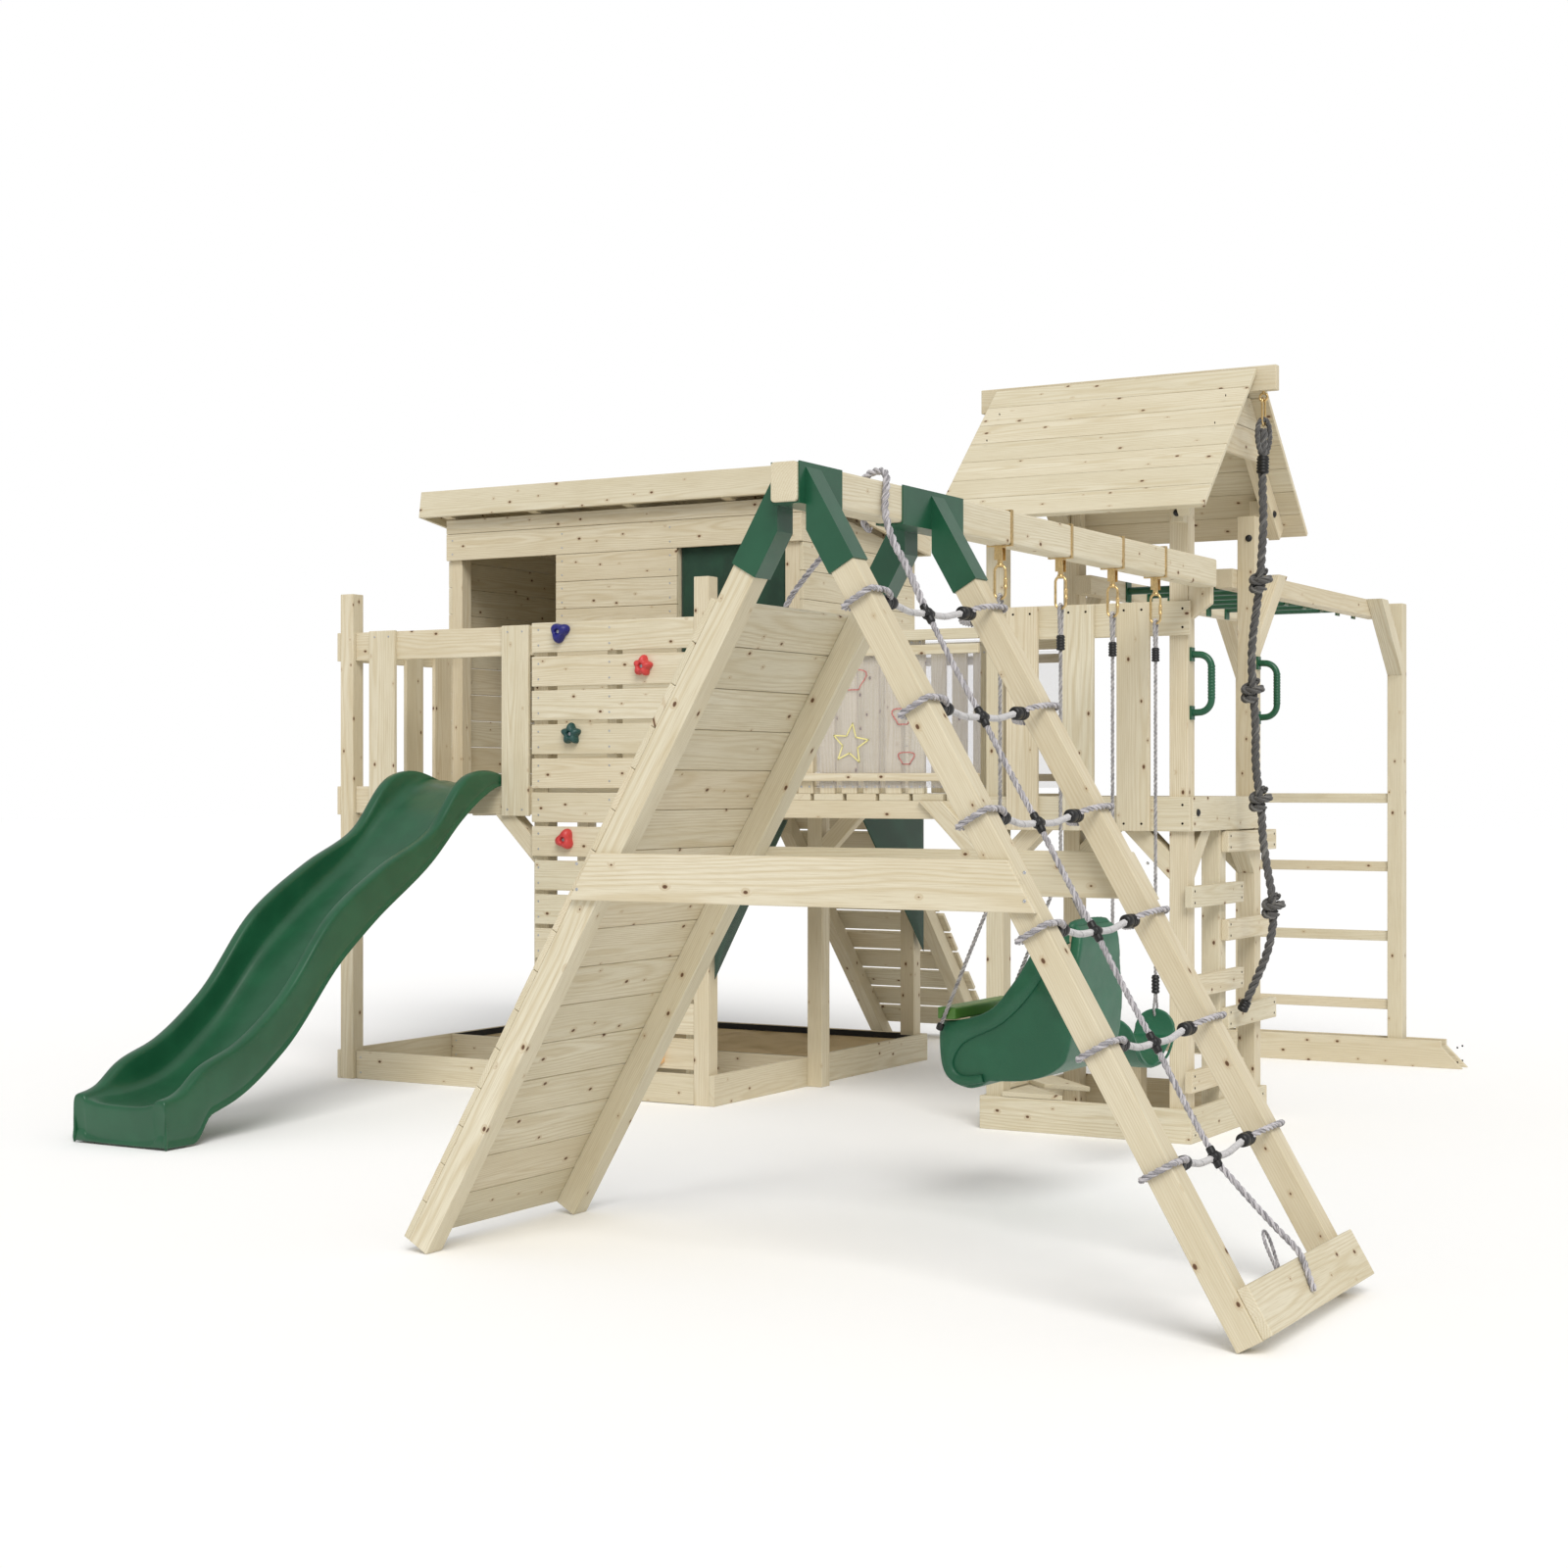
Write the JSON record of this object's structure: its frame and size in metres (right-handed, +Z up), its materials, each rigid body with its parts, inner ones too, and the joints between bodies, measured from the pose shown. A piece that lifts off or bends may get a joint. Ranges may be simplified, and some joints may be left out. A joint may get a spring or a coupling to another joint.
{
  "type": "wooden climbing frame with rock climbing wall",
  "caption": "Timber play set with cabin, rock climbing wall, wave slide, bridge, lookout, swings, net and ramp climber, monkey bars and climbing rope.",
  "frame": {"origin": "centre of the foot of the lookout tower's front right-hand post, on the ground", "axes": "+Z up, -Y to the front with the slide and swings, +X to the right towards the net side of the climber"},
  "size_m": [5.1961, 5.798, 2.748],
  "materials": {
    "timber": "planed softwood, unpainted, fine grain with small knots",
    "green_plastic": "moulded dark green plastic, satin",
    "light_green_plastic": "moulded light green plastic",
    "green_steel": "dark green powder coat",
    "green_grip": "dark green moulded grip",
    "canvas": "dark green woven canvas",
    "clear_acrylic": "clear acrylic sheet",
    "rope": "three-strand rope, pale grey with dark flecks",
    "dark_rope": "three-strand rope, dark grey",
    "black_plastic": "black moulded plastic",
    "gold_steel": "yellow-passivated steel",
    "hold_blue": "blue moulded resin",
    "hold_red": "red moulded resin",
    "hold_teal": "dark teal moulded resin",
    "hold_peach": "peach moulded resin",
    "liner": "black ground sheet",
    "sand": "play sand"
  },
  "bodies": {
    "root": {"art_panels": "clear_acrylic", "beam_brackets": "green_steel", "bolt_caps": "black_plastic", "bridge_beams": "timber", "bridge_deck": "timber", "cabin_fascia": "timber", "cabin_frame": "timber", "cabin_front_wall": "timber", "cabin_roof_boards": "timber", "cabin_walls": "timber", "canvas_flaps": "canvas", "climber_boards": "timber", "climber_legs": "timber", "gable_boards": "timber", "grab_handles": "green_grip", "hold_blue": "hold_blue", "hold_peach": "hold_peach", "hold_teal": "hold_teal", "holds_red": "hold_red", "knee_braces": "timber", "ladder_steps": "timber", "lookout_base": "timber", "lookout_deck": "timber", "lookout_posts": "timber", "lookout_railing": "timber", "lookout_roof_boards": "timber", "monkey_bars": "green_steel", "monkey_frame": "timber", "monkey_ladder": "timber", "net_centre_rope": "rope", "net_fittings": "black_plastic", "net_rungs": "rope", "playhouse_deck": "timber", "playhouse_deck_frame": "timber", "playhouse_posts": "timber", "railing_boards": "timber", "railing_rails": "timber", "ramp_boards": "timber", "ramp_rope": "rope", "rear_ramp": "timber", "rock_wall_planks": "timber", "roof_frame": "timber", "sand": "sand", "sandpit_boards": "timber", "sandpit_liner": "liner", "slide": "green_plastic", "swing_beam": "timber", "swing_clamps": "gold_steel"},
    "baby_swing": {"baby_swing_hooks": "gold_steel", "baby_seat": "green_plastic", "baby_ropes": "rope", "baby_rope_clips": "black_plastic"},
    "baby_bar": {"baby_t_bar": "light_green_plastic"},
    "belt_swing": {"belt_swing_hooks": "gold_steel", "belt_seat": "green_plastic", "belt_ropes": "rope", "belt_rope_clips": "black_plastic"},
    "hanging_rope": {"climbing_rope": "dark_rope", "climbing_rope_hook": "gold_steel", "climbing_rope_ferrules": "black_plastic"}
  },
  "joints": [
    {"name": "baby_swing_pivot", "type": "hinge", "parent": "root", "child": "baby_swing", "pos_m": [0.102, -1.512, 1.9], "axis": [0, 1, 0], "range_deg": [-45, 45]},
    {"name": "baby_bar_lift", "type": "slide", "parent": "baby_swing", "child": "baby_bar", "axis": [0.3993, 0, 0.9168], "range_m": [0, 0.25]},
    {"name": "belt_swing_pivot", "type": "hinge", "parent": "root", "child": "belt_swing", "pos_m": [0.102, -0.701, 1.9], "axis": [0, 1, 0], "range_deg": [-55, 55]},
    {"name": "climbing_rope_swing", "type": "hinge", "parent": "root", "child": "hanging_rope", "pos_m": [0.176, 0.353, 2.636], "axis": [0, 1, 0], "range_deg": [-40, 0]}
  ]
}
